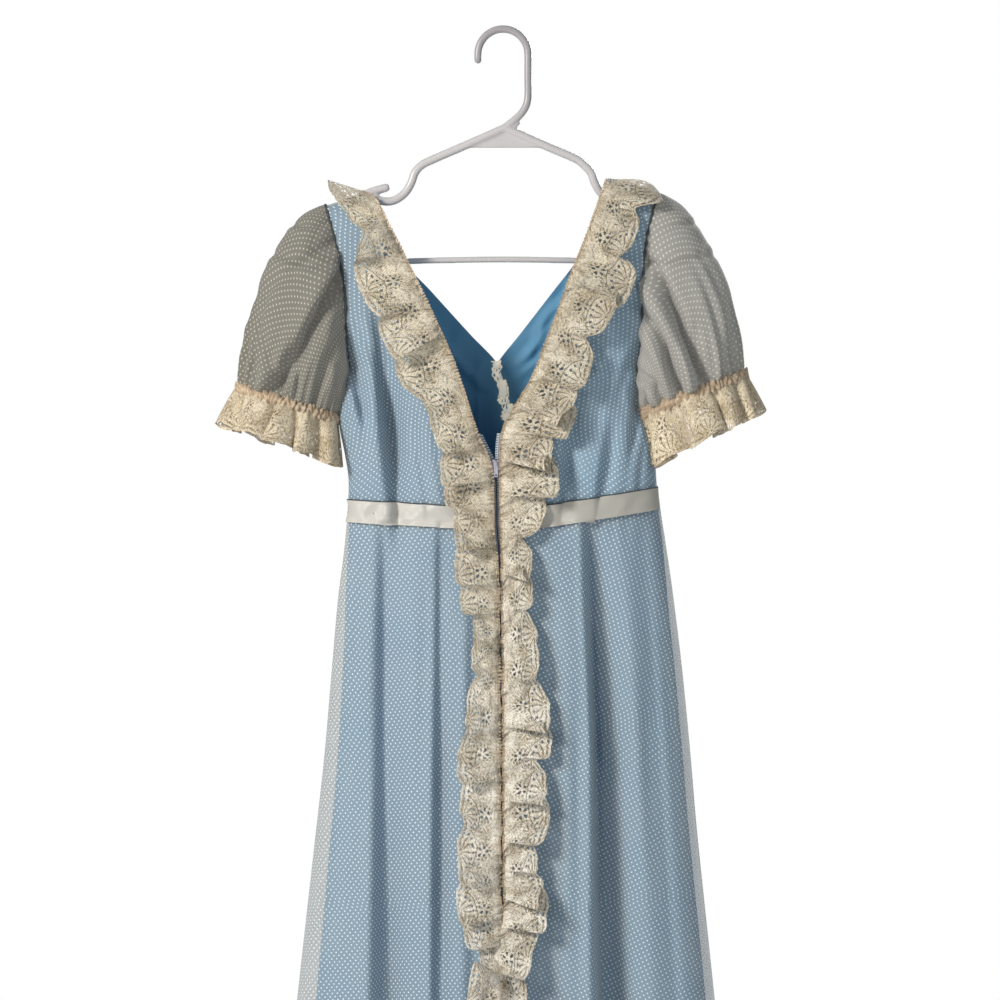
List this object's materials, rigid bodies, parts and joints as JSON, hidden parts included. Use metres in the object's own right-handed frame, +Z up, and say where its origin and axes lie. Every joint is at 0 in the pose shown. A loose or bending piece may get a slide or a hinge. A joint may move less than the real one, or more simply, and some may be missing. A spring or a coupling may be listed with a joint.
{
  "type": "prairie dress on a hanger",
  "caption": "Floor-length high-waisted dress of dotted sheer over blue lining, with puffed sleeves, lace ruffles and a centre zip, on a tubular hanger.",
  "frame": {"origin": "underside of the hook's crown, where the hanger rests on the nail or rail that holds it", "axes": "+Z up, the zip side of the dress faces -Y, +X to the right as seen from the zip side"},
  "size_m": [0.5606, 0.2098, 1.5298],
  "materials": {
    "plastic": "smooth white moulded plastic",
    "overlay": "sheer organza with woven white dots over blue",
    "lining": "blue taffeta lining with a soft sheen",
    "sheer_sleeve": "unlined sheer organza with woven white dots",
    "lace": "cream cotton lace with leaves, eyelets and a corded scalloped edge",
    "ribbon": "ivory satin ribbon",
    "tape": "pale blue woven zip tape",
    "enamel": "pale enamelled zip slider and pull"
  },
  "bodies": {
    "root": {"hanger": "plastic", "neck_strip_inside": "lace", "ribbon_front_left": "ribbon", "ribbon_front_right": "ribbon", "ribbon_back": "ribbon", "zip_slider": "enamel", "skirt_back": "overlay", "skirt_lining_back": "lining", "bodice_front_left": "overlay", "bodice_lining_front_left": "lining", "bodice_front_right": "overlay", "bodice_lining_front_right": "lining", "bodice_back_left": "overlay", "bodice_lining_back_left": "lining", "bodice_back_right": "overlay", "bodice_lining_back_right": "lining", "skirt_front_left": "overlay", "skirt_lining_front_left": "lining", "sleeve_left": "sheer_sleeve", "cuff_lace_left": "lace", "neck_ruffle_front_left": "lace", "neck_ruffle_back_left": "lace", "skirt_ruffle_left": "lace", "zip_tape_left": "tape", "skirt_front_right": "overlay", "skirt_lining_front_right": "lining", "sleeve_right": "sheer_sleeve", "cuff_lace_right": "lace", "neck_ruffle_front_right": "lace", "neck_ruffle_back_right": "lace", "skirt_ruffle_right": "lace", "zip_tape_right": "tape"},
    "pull_tab": {"zip_pull": "enamel"}
  },
  "joints": [
    {"name": "zip_pull_swing", "type": "hinge", "parent": "root", "child": "pull_tab", "pos_m": [-0.00697, -0.04661, -0.4308], "axis": [-1, 0, 0], "range_deg": [0, 165]}
  ]
}
